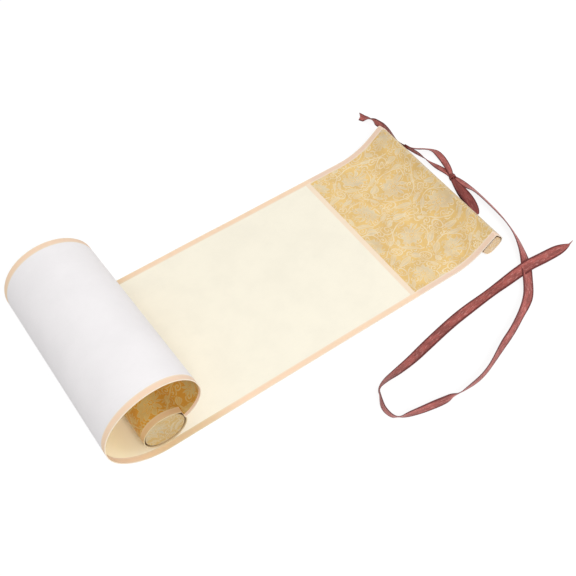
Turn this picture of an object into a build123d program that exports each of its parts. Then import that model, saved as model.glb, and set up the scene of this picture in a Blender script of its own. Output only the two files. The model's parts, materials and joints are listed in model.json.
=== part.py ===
from build123d import *
from math import acos, atan2, cos, degrees, dist, radians, sin, sqrt, tan
import os

os.makedirs("parts", exist_ok=True)

# A small paper scroll, partly unrolled face up on a table. Sizes are in millimetres.
# X runs along the sheet towards the stave at its head, Y across its width, and Z up.
# The origin is on the table, at mid-width, where the head brocade meets its divider.

# Sheet: a lining with a facing glued on it, between tapes that bind the long edges
SHEET_WIDTH = 130.0
LINING = 0.25
FACING = 0.20
TAPE_WIDTH = 4.2
DIVIDER_WIDTH = 3.0
WRITING_LENGTH = 285.6
WRITING_IN_CURL = 94.8

# Head of the sheet: it lifts off the table and wraps over the stave
HEAD_FLAT = 32.0
HEAD_LIFT_RADIUS = 36.0
STAVE_TILT = 42.0
STAVE_WIDTH = 15.0
STAVE_DEPTH = 13.5
STAVE_EDGE_ROUND = 1.0
STAVE_BACK_ROUND = 5.5
STAVE_TUCK = 2.0
END_COVER = 0.30

# Curl: the sheet leaves the table under the roller and goes once round over it
CURL_RADII = (39.8, 34.9, 32.7, 28.8)
CURL_TURNS = (55.0, 60.0, 70.0, 70.0)
CURL_END_FILL = 0.95

# Roller: a rod with a covered end face, loose in a sleeve made by the end of the sheet
ROLLER_RADIUS = 13.9
ROLLER_INSET = 4.0
SLEEVE_SLACK = 0.40
SLEEVE_OVERHANG = 0.60
SLEEVE_END_AT = 25.0
REST_GAP = 0.05

# Crease where the sheet turns back round the roller, seen from the roller's axis
CREASE_AT = 38.5
CREASE_STANDOFF = 1.4
CREASE_APPROACH = 210.0
CREASE_ROUND = 0.8

# Ribbon: one flat satin ribbon, hitched behind the stave and tied in a bow.
# Its X starts at the back of the stave, so that it keeps its place against it.
# Between the hitch and the knot it is gathered, and takes less width seen from above.
RIBBON_WIDTH = 9.5
STRAND_WIDTH = 6.0
RIBBON_THICKNESS = 0.5
HITCH_SIZE = (4.4, 8.0, 6.0)
HITCH_Y = 45.0
HITCH_BEVEL = 1.2
KNOT_SIZE = (6.4, 6.8, 5.0)
KNOT_CENTRE = (15.2, 3.0, 2.5)
KNOT_BEVEL = 1.4
BOW_LENGTH = 37.0
BOW_HEADING = -101.0
BOW_LOOP_RADIUS = 1.6
BOW_LOWER_Z = 1.0
BOW_START = (14.6, 1.5, 0.0)
ARC_SHARE = 0.45

# Ribbon routes: plan points, and on the raised pieces the height of the ribbon's underside
TAIL_ROUTE = [(3.6, 47.0, 7.8), (4.4, 58.5, 4.6), (6.6, 67.5, 1.6), (5.4, 77.5, 0.3),
              (2.4, 87.0, 0.0), (-1.6, 96.5, 0.3)]
UPPER_ROUTE = [(3.0, 44.0, 8.8), (10.6, 40.6, 7.0), (18.6, 35.5, 3.0), (24.8, 27.0, 0.6),
               (24.4, 17.5, 0.3), (20.2, 9.5, 1.4), (16.2, 4.0, 2.4)]
LOWER_ROUTE = [(3.2, 43.0, 7.2), (6.2, 34.5, 2.2), (10.4, 26.0, 0.6), (13.6, 17.0, 0.0),
               (14.2, 9.5, 0.3), (15.0, 3.5, 0.8)]
LONG_RUN_ROUTE = [(15.8, 2.0), (20.2, -11.0), (22.0, -30.0), (20.0, -51.0), (13.2, -70.0),
                  (2.2, -90.0), (-12.4, -107.2), (-32.4, -118.4), (-55.4, -127.0), (-78.4, -134.8),
                  (-104.4, -137.6), (-127.4, -133.2), (-142.0, -130.2), (-146.4, -116.6),
                  (-139.4, -103.8), (-126.4, -102.6), (-100.4, -101.4), (-86.9, -98.6)]
FREE_END_ROUTE = [(-86.9, -98.6), (-73.4, -95.8), (-45.4, -93.0), (-19.4, -89.2), (5.6, -88.5),
                  (27.6, -90.1), (44.6, -90.2)]
CROSSING_START = -29.4
CROSSING_RISE_END = -5.4
CROSSING_FALL_START = 18.6
CROSSING_END = 40.6
CROSSING_LIFT = 1.0

SHEET = LINING + FACING
SLEEVE_INNER = ROLLER_RADIUS + SLEEVE_SLACK
SLEEVE_SEAM_RADIUS = SLEEVE_INNER + LINING
SLEEVE_OUTER = SLEEVE_INNER + SHEET
FLAT_RUN = DIVIDER_WIDTH + WRITING_LENGTH - WRITING_IN_CURL
ROLLER_X = -FLAT_RUN
SLEEVE_Z = SHEET + REST_GAP + SLEEVE_OUTER
ROLLER_Z = SLEEVE_Z - SLEEVE_SLACK + REST_GAP
SLEEVE_WIDTH = SHEET_WIDTH - 2 * ROLLER_INSET


# Paths are lists of moves, each a length and a curvature, positive to the left

def run(length):
    return length, 0.0


def bend(radius, turn):
    """A bend of a given radius through a turn in degrees, positive to the left."""
    return radius * radians(abs(turn)), (1.0 if turn > 0 else -1.0) / radius


def at(leg, distance, offset=0.0):
    """The point at a distance along a leg, offset to its right, and the heading there."""
    x, z, heading, _, curve = leg
    turned = heading + curve * distance
    if curve:
        x += (sin(turned) - sin(heading)) / curve
        z += (cos(heading) - cos(turned)) / curve
    else:
        x += distance * cos(heading)
        z += distance * sin(heading)
    return x + offset * sin(turned), z - offset * cos(turned), turned


def walk(moves, start, heading):
    """Lay the moves end to end as legs: start point, heading, length and curvature."""
    legs = []
    x, z = start
    for length, curve in moves:
        legs.append((x, z, heading, length, curve))
        x, z, heading = at(legs[-1], length)
    return legs


def path_length(legs):
    return sum(leg[3] for leg in legs)


def trail(legs, begin, end, offset):
    """The edges of a path between two distances along it, offset to its right."""
    edges = []
    passed = 0.0
    for leg in legs:
        first = max(begin - passed, 0.0)
        last = min(end - passed, leg[3])
        passed += leg[3]
        if last - first < 1e-6:
            continue
        start_point = at(leg, first, offset)[:2]
        end_point = at(leg, last, offset)[:2]
        if leg[4]:
            middle = at(leg, (first + last) / 2, offset)[:2]
            edges.append(ThreePointArc(start_point, middle, end_point))
        else:
            edges.append(Line(start_point, end_point))
    return edges


def band(legs, begin, end, low, high):
    """The face between two offsets of a path, over a range of its length."""
    inner = trail(legs, begin, end, low)
    outer = trail(legs, begin, end, high)
    caps = [Line(inner[0] @ 0, outer[0] @ 0), Line(inner[-1] @ 1, outer[-1] @ 1)]
    return make_face(inner + outer + caps)


def across(face, y_low, y_high):
    """Extrude a face of the XZ section across the sheet's width."""
    return Pos(0, y_low, 0) * extrude(Plane.XZ * face, amount=y_high - y_low, dir=(0, 1, 0))


def corner_setback(radius, turn):
    return radius * tan(radians(abs(turn)) / 2)


# Section of the sheet, from the end tucked under the stave to the end round the roller

def stave_wrap():
    """The sheet's way over the stave's bottom, back and top, then down its flat side."""
    outer = STAVE_BACK_ROUND + LINING
    edge = STAVE_EDGE_ROUND + LINING
    tilt = radians(STAVE_TILT)
    # The stave's height comes from its wrapped back corner resting on the table
    low_corner = ((STAVE_DEPTH - STAVE_BACK_ROUND) * cos(tilt) - STAVE_BACK_ROUND * sin(tilt)
                  + STAVE_BACK_ROUND + SHEET)
    seat_top = low_corner + (STAVE_WIDTH - STAVE_EDGE_ROUND) * sin(tilt) + LINING * cos(tilt)
    lift_top = LINING + HEAD_LIFT_RADIUS * (1 - cos(tilt))
    seat_run = (seat_top - lift_top) / sin(tilt)
    return [run(STAVE_DEPTH - STAVE_BACK_ROUND - STAVE_TUCK),
            bend(outer, 90),
            run(STAVE_WIDTH - 2 * STAVE_BACK_ROUND),
            bend(outer, 90),
            run(STAVE_DEPTH - STAVE_BACK_ROUND - STAVE_EDGE_ROUND),
            bend(edge, 90),
            run(seat_run),
            bend(HEAD_LIFT_RADIUS, -STAVE_TILT),
            run(HEAD_FLAT)]


def curl_and_sleeve():
    """The sheet's way from the origin over the roller, into the crease and round the rod."""
    moves = [run(FLAT_RUN)] + [bend(r, -t) for r, t in zip(CURL_RADII, CURL_TURNS)]
    last = walk(moves, (0, LINING), radians(180))[-1]
    x, z, heading = at(last, last[3])
    reach = SLEEVE_SEAM_RADIUS + CREASE_STANDOFF
    crease_x = ROLLER_X + reach * cos(radians(CREASE_AT))
    crease_z = SLEEVE_Z + reach * sin(radians(CREASE_AT))
    approach = radians(CREASE_APPROACH)
    # Lengths along both lines to the corner that the last bend of the curl rounds
    turn_sine = sin(approach - heading)
    gap_x, gap_z = crease_x - x, crease_z - z
    first = (gap_x * sin(approach) - gap_z * cos(approach)) / turn_sine
    second = (gap_z * cos(heading) - gap_x * sin(heading)) / turn_sine
    curl_turn = degrees(heading) - CREASE_APPROACH + 360
    leave = degrees(acos(SLEEVE_SEAM_RADIUS / reach))
    crease_turn = CREASE_APPROACH - (CREASE_AT + leave + 90)
    crease_back = corner_setback(CREASE_ROUND, crease_turn)
    curl_back = CURL_END_FILL * min(first, second - crease_back)
    curl_radius = curl_back / tan(radians(curl_turn) / 2)
    return moves + [run(first - curl_back),
                    bend(curl_radius, -curl_turn),
                    run(second - curl_back - crease_back),
                    bend(CREASE_ROUND, -crease_turn),
                    run(sqrt(reach ** 2 - SLEEVE_SEAM_RADIUS ** 2) - crease_back),
                    bend(SLEEVE_SEAM_RADIUS, 360 + SLEEVE_END_AT - CREASE_AT - leave)]


HEAD_MOVES = stave_wrap()
TAIL_MOVES = curl_and_sleeve()
HEAD_LENGTH = sum(length for length, _ in HEAD_MOVES)
head_turn = sum(length * curve for length, curve in HEAD_MOVES)
rough = walk(HEAD_MOVES, (0, 0), radians(180) - head_turn)
rough_x, rough_z, _ = at(rough[-1], rough[-1][3])
SHEET_PATH = walk(HEAD_MOVES + TAIL_MOVES, (-rough_x, LINING - rough_z), radians(180) - head_turn)
SHEET_LENGTH = path_length(SHEET_PATH)
CREASE_END = SHEET_LENGTH - sum(length for length, _ in TAIL_MOVES[-2:])
WRITING_START = HEAD_LENGTH + DIVIDER_WIDTH
# The wrap's upper back bend is its fourth leg, and the ribbon is hitched where it stands out most
back_x, back_z, back_heading, _, back_curve = SHEET_PATH[3]
STAVE_BACK_X = back_x - sin(back_heading) / back_curve + STAVE_BACK_ROUND + SHEET
STAVE_BACK_Z = back_z + cos(back_heading) / back_curve
WRITING_END = WRITING_START + WRITING_LENGTH


def inside_tapes(begin, end, low, high, width):
    """One layer of the sheet between the two tapes, over a range of its length."""
    half = width / 2 - TAPE_WIDTH
    return across(band(SHEET_PATH, begin, end, low, high), -half, half)


def lining(begin, end, width):
    return inside_tapes(begin, end, -LINING, 0, width)


def facing(begin, end, width):
    return inside_tapes(begin, end, 0, FACING, width)


def tape(begin, end, width, side):
    """Tape along one long edge, as thick as the sheet, so that it shows on both faces."""
    rims = sorted((side * width / 2, side * (width / 2 - TAPE_WIDTH)))
    return across(band(SHEET_PATH, begin, end, -LINING, FACING), *rims)


def stave_section():
    """The stave's section: a flat side, small edge rounds and large back rounds."""
    x, z, heading = at(SHEET_PATH[0], 0, -LINING)
    back = STAVE_DEPTH - STAVE_BACK_ROUND
    moves = [run(back - STAVE_TUCK),
             bend(STAVE_BACK_ROUND, 90),
             run(STAVE_WIDTH - 2 * STAVE_BACK_ROUND),
             bend(STAVE_BACK_ROUND, 90),
             run(back - STAVE_EDGE_ROUND),
             bend(STAVE_EDGE_ROUND, 90),
             run(STAVE_WIDTH - 2 * STAVE_EDGE_ROUND),
             bend(STAVE_EDGE_ROUND, 90),
             run(STAVE_TUCK - STAVE_EDGE_ROUND)]
    legs = walk(moves, (x, z), heading)
    return make_face(trail(legs, 0, path_length(legs), 0))


def disc(radius, y_low, y_high):
    """A disc or rod on the roller's own axis."""
    section = Pos(ROLLER_X, ROLLER_Z) * Circle(radius)
    return across(section, y_low, y_high)


# Ribbon

def route_legs(points):
    """Straight runs through the points, joined by tangent arcs as large as the runs allow."""
    moves = []
    radii = []
    used = 0.0
    for before, corner, after in zip(points, points[1:], points[2:]):
        heading_in = atan2(corner[1] - before[1], corner[0] - before[0])
        heading_out = atan2(after[1] - corner[1], after[0] - corner[0])
        turn = (degrees(heading_out - heading_in) + 180) % 360 - 180
        setback = ARC_SHARE * min(dist(before, corner), dist(corner, after))
        radius = setback / tan(radians(abs(turn)) / 2)
        radii.append(radius)
        moves += [run(dist(before, corner) - used - setback), bend(radius, turn)]
        used = setback
    moves.append(run(dist(points[-2], points[-1]) - used))
    first = points[0]
    heading = atan2(points[1][1] - first[1], points[1][0] - first[0])
    return walk(moves, first, heading), radii


def lengthened(points, extra):
    """The same points, with the first and last pushed outwards along their runs."""
    def pushed(end, inner):
        share = 1 + extra / dist(end, inner)
        return tuple(i + (e - i) * share for e, i in zip(end, inner))
    return [pushed(points[0], points[1])] + points[1:-1] + [pushed(points[-1], points[-2])]


def ribbon_piece(name, width, plan_points, profile_points=None, section_plane=None):
    """A flat ribbon: its plan band, cut by a slab that follows the height of its underside."""
    plan, radii = route_legs(plan_points)
    length = path_length(plan)
    half = width / 2
    plan_band = band(plan, 0, length, -half, half)
    solid = extrude(plan_band, amount=RIBBON_THICKNESS, dir=(0, 0, 1))
    if profile_points:
        profile, _ = route_legs(lengthened(profile_points, width))
        top = RIBBON_THICKNESS if profile_points[0][0] > profile_points[-1][0] else -RIBBON_THICKNESS
        slab_face = section_plane * band(profile, 0, path_length(profile), 0, top)
        # The slab and the band reach past each other, wherever the route lies
        reach = length + max(abs(value) for point in plan_points for value in point)
        solid = extrude(plan_band, amount=reach, dir=(0, 0, 1)) & extrude(slab_face, amount=reach, both=True)
    section = width * RIBBON_THICKNESS
    print(name, "length", round(length, 1), "radii", [round(radius, 1) for radius in radii],
          "volume", round(solid.volume, 1), "section times length", round(section * length, 1))
    return solid


def strand(name, route):
    """A gathered ribbon piece whose underside changes height along Y."""
    plan_points = [(x, y) for x, y, _ in route]
    profile_points = [(y, z) for _, y, z in route]
    return ribbon_piece(name, STRAND_WIDTH, plan_points, profile_points, Plane.YZ)


def tied_lump(size, centre, bevel):
    """A tied lump of ribbon: a block with every edge bevelled."""
    block = Box(*size)
    return Pos(*centre) * chamfer(block.edges(), bevel)


def bow_loop():
    """Two layers of ribbon joined by a bend at the loop's tip."""
    heading = radians(BOW_HEADING)
    along = Vector(cos(heading), sin(heading), 0)
    plane = Plane(origin=BOW_START, x_dir=along, z_dir=along.cross(Vector(0, 0, 1)))
    moves = [run(BOW_LENGTH), bend(BOW_LOOP_RADIUS, 180), run(BOW_LENGTH)]
    legs = walk(moves, (0, BOW_LOWER_Z + RIBBON_THICKNESS / 2), 0.0)
    half = RIBBON_THICKNESS / 2
    face = plane * band(legs, 0, path_length(legs), -half, half)
    return extrude(face, amount=RIBBON_WIDTH / 2, both=True)


# Nodes

def sheet_nodes():
    tail_start = WRITING_END + DIVIDER_WIDTH
    return {
        "lining_paper": lining(0, CREASE_END, SHEET_WIDTH)
        + lining(CREASE_END, SHEET_LENGTH, SLEEVE_WIDTH),
        "head_brocade": facing(0, HEAD_LENGTH, SHEET_WIDTH),
        "head_divider": facing(HEAD_LENGTH, WRITING_START, SHEET_WIDTH),
        "writing_panel": facing(WRITING_START, WRITING_END, SHEET_WIDTH),
        "tail_divider": facing(WRITING_END, tail_start, SHEET_WIDTH),
        "tail_brocade": facing(tail_start, CREASE_END, SHEET_WIDTH)
        + facing(CREASE_END, SHEET_LENGTH, SLEEVE_WIDTH),
        "near_edge_tape": tape(0, CREASE_END, SHEET_WIDTH, -1),
        "far_edge_tape": tape(0, CREASE_END, SHEET_WIDTH, 1),
        "near_sleeve_tape": tape(CREASE_END, SHEET_LENGTH, SLEEVE_WIDTH, -1),
        "far_sleeve_tape": tape(CREASE_END, SHEET_LENGTH, SLEEVE_WIDTH, 1)}


def stave_nodes():
    half = SHEET_WIDTH / 2
    section = stave_section()
    return {
        "stave": across(section, -half, half),
        "near_stave_cover": across(section, -half - END_COVER, -half),
        "far_stave_cover": across(section, half, half + END_COVER)}


def roller_nodes():
    face = SLEEVE_WIDTH / 2 - SLEEVE_OVERHANG
    rod = face - END_COVER
    return {
        "roller": disc(ROLLER_RADIUS, -rod, rod),
        "near_roller_cover": disc(ROLLER_RADIUS, -face, -rod),
        "far_roller_cover": disc(ROLLER_RADIUS, rod, face)}


def ribbon_nodes():
    hitch_x = REST_GAP + HITCH_SIZE[0] / 2
    hitch = tied_lump(HITCH_SIZE, (hitch_x, HITCH_Y, STAVE_BACK_Z), HITCH_BEVEL)
    knot = tied_lump(KNOT_SIZE, KNOT_CENTRE, KNOT_BEVEL)
    crossing = [(FREE_END_ROUTE[0][0], 0), (CROSSING_START, 0), (CROSSING_RISE_END, CROSSING_LIFT),
                (CROSSING_FALL_START, CROSSING_LIFT), (CROSSING_END, 0), (FREE_END_ROUTE[-1][0], 0)]
    pieces = {
        "ribbon_hitch": hitch,
        "ribbon_tail": strand("ribbon_tail", TAIL_ROUTE) - hitch,
        "ribbon_upper_strand": strand("ribbon_upper_strand", UPPER_ROUTE) - hitch - knot,
        "ribbon_lower_strand": strand("ribbon_lower_strand", LOWER_ROUTE) - hitch - knot,
        "ribbon_knot": knot,
        "ribbon_bow_loop": bow_loop() - knot,
        "ribbon_long_run": ribbon_piece("ribbon_long_run", RIBBON_WIDTH, LONG_RUN_ROUTE) - knot,
        "ribbon_free_end": ribbon_piece("ribbon_free_end", RIBBON_WIDTH, FREE_END_ROUTE, crossing, Plane.XZ)}
    return {node: Pos(STAVE_BACK_X, 0, 0) * piece for node, piece in pieces.items()}


print("sheet length", round(SHEET_LENGTH, 1))
for node, shape in {**sheet_nodes(), **stave_nodes(), **roller_nodes(), **ribbon_nodes()}.items():
    export_step(shape, "parts/" + node + ".step")
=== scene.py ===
import json
from collections import namedtuple
from math import acos, ceil, copysign, cos, pi, radians, sin, sqrt, tan

import bpy
from bpy.props import FloatProperty, FloatVectorProperty, PointerProperty
from mathutils import Vector
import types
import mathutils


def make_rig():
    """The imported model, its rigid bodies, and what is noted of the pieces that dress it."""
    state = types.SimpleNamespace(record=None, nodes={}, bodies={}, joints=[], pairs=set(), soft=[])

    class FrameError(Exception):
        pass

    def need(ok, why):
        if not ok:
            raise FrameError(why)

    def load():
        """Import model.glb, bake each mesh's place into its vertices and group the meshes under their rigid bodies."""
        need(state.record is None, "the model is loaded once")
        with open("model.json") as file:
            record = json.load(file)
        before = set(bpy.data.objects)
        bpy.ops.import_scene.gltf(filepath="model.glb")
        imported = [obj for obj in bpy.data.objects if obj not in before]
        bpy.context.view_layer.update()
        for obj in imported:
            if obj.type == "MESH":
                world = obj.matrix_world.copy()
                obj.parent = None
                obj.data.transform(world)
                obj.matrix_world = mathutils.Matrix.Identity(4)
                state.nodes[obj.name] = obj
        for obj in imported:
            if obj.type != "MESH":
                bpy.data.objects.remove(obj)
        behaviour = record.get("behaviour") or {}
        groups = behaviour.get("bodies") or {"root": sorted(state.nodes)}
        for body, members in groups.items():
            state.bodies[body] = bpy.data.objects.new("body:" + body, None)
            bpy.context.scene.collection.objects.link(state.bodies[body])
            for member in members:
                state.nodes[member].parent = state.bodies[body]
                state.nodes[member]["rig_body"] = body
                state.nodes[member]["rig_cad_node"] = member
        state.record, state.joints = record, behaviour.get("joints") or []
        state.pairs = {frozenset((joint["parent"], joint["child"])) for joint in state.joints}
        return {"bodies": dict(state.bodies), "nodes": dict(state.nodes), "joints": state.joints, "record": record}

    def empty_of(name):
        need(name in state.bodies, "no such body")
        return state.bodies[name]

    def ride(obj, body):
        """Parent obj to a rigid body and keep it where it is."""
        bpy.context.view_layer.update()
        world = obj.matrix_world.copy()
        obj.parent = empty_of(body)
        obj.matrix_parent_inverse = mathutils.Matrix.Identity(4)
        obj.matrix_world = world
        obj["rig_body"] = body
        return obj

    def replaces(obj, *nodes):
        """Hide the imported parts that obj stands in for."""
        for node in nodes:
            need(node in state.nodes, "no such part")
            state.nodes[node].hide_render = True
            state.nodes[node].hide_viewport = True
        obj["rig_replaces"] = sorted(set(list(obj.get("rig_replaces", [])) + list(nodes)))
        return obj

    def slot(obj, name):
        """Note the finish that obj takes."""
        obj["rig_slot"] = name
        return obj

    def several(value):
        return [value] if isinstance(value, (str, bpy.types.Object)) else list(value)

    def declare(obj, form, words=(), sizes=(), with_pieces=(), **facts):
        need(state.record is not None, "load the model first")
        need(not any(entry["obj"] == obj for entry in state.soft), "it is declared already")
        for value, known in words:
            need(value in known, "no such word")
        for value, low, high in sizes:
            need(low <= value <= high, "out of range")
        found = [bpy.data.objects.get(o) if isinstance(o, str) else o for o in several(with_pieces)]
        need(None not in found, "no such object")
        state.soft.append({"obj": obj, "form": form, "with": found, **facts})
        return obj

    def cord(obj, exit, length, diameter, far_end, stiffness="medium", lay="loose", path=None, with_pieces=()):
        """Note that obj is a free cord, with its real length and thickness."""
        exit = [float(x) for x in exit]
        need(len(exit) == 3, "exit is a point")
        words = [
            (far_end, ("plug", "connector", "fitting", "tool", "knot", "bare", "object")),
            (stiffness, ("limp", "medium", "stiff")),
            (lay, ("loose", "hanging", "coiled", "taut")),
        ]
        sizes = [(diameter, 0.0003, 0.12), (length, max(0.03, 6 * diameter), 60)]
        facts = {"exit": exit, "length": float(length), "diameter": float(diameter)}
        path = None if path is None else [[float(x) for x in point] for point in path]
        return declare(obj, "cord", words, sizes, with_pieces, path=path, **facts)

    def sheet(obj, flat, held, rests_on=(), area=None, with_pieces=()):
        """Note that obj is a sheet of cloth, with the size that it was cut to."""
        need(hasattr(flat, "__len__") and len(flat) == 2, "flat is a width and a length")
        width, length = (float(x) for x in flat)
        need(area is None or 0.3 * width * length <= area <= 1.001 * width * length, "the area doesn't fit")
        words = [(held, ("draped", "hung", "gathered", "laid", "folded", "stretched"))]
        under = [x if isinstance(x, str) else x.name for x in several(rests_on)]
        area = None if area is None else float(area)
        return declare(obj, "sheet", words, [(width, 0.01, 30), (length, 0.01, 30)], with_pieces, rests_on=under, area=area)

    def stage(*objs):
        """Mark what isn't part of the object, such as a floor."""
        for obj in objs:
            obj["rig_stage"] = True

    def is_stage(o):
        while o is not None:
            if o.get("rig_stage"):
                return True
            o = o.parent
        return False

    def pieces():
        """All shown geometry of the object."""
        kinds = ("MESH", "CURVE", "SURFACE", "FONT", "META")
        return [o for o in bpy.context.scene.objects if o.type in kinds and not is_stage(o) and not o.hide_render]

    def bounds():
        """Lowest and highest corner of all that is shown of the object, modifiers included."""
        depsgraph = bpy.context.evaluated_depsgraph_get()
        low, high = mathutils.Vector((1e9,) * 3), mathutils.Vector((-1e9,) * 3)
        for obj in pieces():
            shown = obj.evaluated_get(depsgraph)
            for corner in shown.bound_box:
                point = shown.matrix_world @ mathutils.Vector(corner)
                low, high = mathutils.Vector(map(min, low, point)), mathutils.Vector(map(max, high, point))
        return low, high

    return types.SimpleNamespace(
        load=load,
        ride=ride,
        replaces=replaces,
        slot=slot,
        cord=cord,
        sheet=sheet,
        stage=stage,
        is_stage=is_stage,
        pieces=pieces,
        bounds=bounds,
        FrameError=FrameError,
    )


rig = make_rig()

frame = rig.load()
SOLIDS_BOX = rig.bounds()

# A small paper scroll, partly unrolled face up, with its roller inside one loose turn, its stave
# raised a little at the head and its satin ribbon untied beside it. All lengths are in metres
# unless a comment says millimetres. X runs along the sheet towards the stave, Y across it and Z
# up. The origin is on the table where the head brocade meets its divider.

bl_info = {
    "name": "Paper Scroll",
    "version": (1, 0, 0),
    "blender": (4, 5, 0),
    "location": "View3D > Sidebar > Scroll",
    "description": "Builds a paper scroll with brocade ends, roller, stave and satin ribbon",
    "category": "Object"}

MM = 0.001
FULL_TURN = 2 * pi
BODY = "root"
SIDES = ((-1, "near"), (1, "far"))


# Settings that a user would change

def size(label, description, default):
    return FloatProperty(name=label, description=description, default=default * MM,
                         unit="LENGTH", precision=5)


def angle(label, description, default):
    return FloatProperty(name=label, description=description, default=radians(default),
                         subtype="ANGLE")


def share(label, description, default):
    return FloatProperty(name=label, description=description, default=default, subtype="FACTOR")


def radii(label, description, *defaults):
    return FloatVectorProperty(name=label, description=description, size=len(defaults),
                               default=defaults, unit="LENGTH")


def colour(label, description, *screen):
    """A colour setting, given as the screen shows it, from 0 to 255."""
    linear = [value / 12.92 if value <= 0.04045 else ((value + 0.055) / 1.055) ** 2.4
              for value in (part / 255 for part in screen)]
    return FloatVectorProperty(name=label, description=description, default=linear,
                               subtype="COLOR", min=0, max=1)


class SheetSizes(bpy.types.PropertyGroup):
    width: size("Width", "Width of the whole sheet", 128.8)
    middle: size("Middle", "Where the middle of the sheet lies across it", -0.6)
    lining: size("Lining", "Thickness of the paper lining", 0.25)
    facing: size("Facing", "Thickness of the paper and brocade faces", 0.20)
    tape_width: size("Tape width", "Width of the tapes along the edges", 4.2)
    tape_rise: size("Tape rise", "How far the tapes stand above the face", 0.04)
    divider_width: size("Divider width", "Gap between paper and brocade under the strip", 4.6)
    divider_start: size("Divider start", "Where the strip starts in its gap", 0.2)
    divider_end: size("Divider end", "Where the strip ends in its gap", 3.9)
    writing_length: size("Writing length", "Length of the writing panel", 284.0)
    writing_in_curl: size("Writing in the curl", "Length of the panel that is rolled up", 94.8)
    rest_gap: size("Rest gap", "Gap between pieces that lie on each other", 0.05)
    wave: size("Wave", "Height of the slight waves in the flat paper", 0.5)


class HeadSizes(bpy.types.PropertyGroup):
    flat: size("Flat part", "Length of brocade that lies on the table", 32.0)
    lift_radius: size("Lift radius", "Radius of the bend up to the stave", 36.0)
    near_lift_radius: size("Near lift radius", "The same at the near edge", 34.0)
    far_lift_radius: size("Far lift radius", "The same at the far edge", 44.0)
    tilt: angle("Tilt", "Tilt of the stave's flat side", 42.0)
    stave_width: size("Stave width", "Width of the stave's flat side", 15.0)
    stave_depth: size("Stave depth", "Depth of the stave behind its flat side", 13.5)
    edge_round: size("Edge round", "Rounding of the stave's flat side", 1.0)
    back_round: size("Back round", "Rounding of the stave's back", 5.5)
    tuck: size("Tuck", "How far the sheet's end stays from the stave's edge", 2.0)
    cover_setback: size("Cover setback", "From the stave's flat side to its end covers", 2.2)
    cover_inset: size("Cover inset", "From the stave's upper side to its end covers", 0.9)
    cover_recess: size("Cover recess", "From the sheet's edges to the stave's end covers", 0.1)


class CurlSizes(bpy.types.PropertyGroup):
    near_radii: radii("Near radii", "Radii of the curl's bends at the near edge",
                      0.0400, 0.0332, 0.0366, 0.0255)
    far_radii: radii("Far radii", "Radii of the curl's bends at the far edge",
                     0.0384, 0.0366, 0.0287, 0.0315)
    turns: FloatVectorProperty(
        name="Turns", description="How far each bend of the curl turns", size=4, subtype="EULER",
        default=[radians(turn) for turn in (55, 60, 70, 70)])
    end_fill: share("End fill", "How much of its corner the curl's last bend takes", 0.95)
    roller_radius: size("Roller radius", "Radius of the roller", 13.9)
    roller_inset: size("Roller inset", "From the sheet's edge to the sleeve's end", 4.0)
    cover_radius: size("Cover radius", "Radius of the cloth on the roller's ends", 13.4)
    sleeve_slack: size("Sleeve slack", "Gap between the roller and its sleeve", 0.40)
    sleeve_overhang: size("Sleeve overhang", "From the sleeve's end to the roller's", 0.60)
    sleeve_end: angle("Sleeve end", "Where the sleeve ends, seen from the roller's axis", 25.0)
    crease_at: angle("Crease place", "Where the crease lies, seen from the same axis", 38.5)
    crease_standoff: size("Crease standoff", "Distance of the crease from the sleeve", 1.4)
    crease_approach: angle("Crease approach", "Heading of the sheet on its way there", 210.0)
    crease_round: size("Crease round", "Rounding of the crease", 0.8)


class RibbonSizes(bpy.types.PropertyGroup):
    width: size("Width", "Width of the satin ribbon", 9.5)
    thickness: size("Thickness", "Thickness of the satin ribbon", 0.34)
    cup: share("Cup", "How much the ribbon bows across its width", 0.05)


class BrocadeSizes(bpy.types.PropertyGroup):
    repeat: size("Repeat", "Length of one wave of the vine", 62.0)
    column: size("Column", "Width of one column of vines", 33.0)
    wave: size("Wave", "How far the vine swings to each side", 8.6)
    stem: size("Stem", "Half the width of a stem", 0.40)
    flower: size("Flower", "Radius of the large flower", 9.0)
    thread: size("Thread", "Pitch of the weave", 0.42)


class Colours(bpy.types.PropertyGroup):
    paper: colour("Paper", "Writing paper", 251, 245, 227)
    # Rolled: painted warm light, as if bounced off the gold cloth inside the curl. Glow: a painted glow, an emission
    # that stands for daylight through the thin paper.
    rolled: colour("Rolled paper", "Writing paper where it is rolled up", 253, 244, 214)
    glow: colour("Glow", "Daylight through the thin rolled paper", 248, 226, 178)
    lining: colour("Lining", "Paper on the back", 245, 242, 243)
    tape: colour("Tape", "Tapes beside the paper", 250, 219, 188)
    tape_pink: colour("Tape by the brocade", "Tapes beside the brocade", 239, 210, 188)
    gold: colour("Gold", "Ground of the brocade", 239, 202, 130)
    pale: colour("Pale thread", "Figure of the brocade", 229, 211, 175)
    ribbon: colour("Ribbon", "Satin of the ribbon", 181, 96, 89)
    # Also the painted shade on the bow and the knots
    ribbon_edge_and_shade: colour("Ribbon edge", "Woven edges of the ribbon", 96, 34, 33)
    wood: colour("Wood", "Roller and stave", 176, 128, 84)
    floor: colour("Floor", "Table top", 236, 236, 236)


class ScrollSettings(bpy.types.PropertyGroup):
    sheet: PointerProperty(type=SheetSizes)
    head: PointerProperty(type=HeadSizes)
    curl: PointerProperty(type=CurlSizes)
    ribbon: PointerProperty(type=RibbonSizes)
    brocade: PointerProperty(type=BrocadeSizes)
    colours: PointerProperty(type=Colours)


# Section of the sheet, as legs of one curvature each. A move is a length and a curvature.

Leg = namedtuple("Leg", "x z heading length curve")

# The legs that pieces are measured from, counted from the sheet's end under the stave
STAVE_TOP, STAVE_FACE, WRITING_RUN, CURL_START, SLEEVE_RUN = 4, 6, 9, 10, 18

LONGEST_STEP = 2.5 * MM
WIDEST_TURN = radians(4)
SHORTEST_LEG = 1e-6
SAME_PLACE = 1e-9


def run(length):
    return length, 0.0


def bend(radius, turn):
    return radius * abs(turn), copysign(1 / radius, turn)


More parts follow.
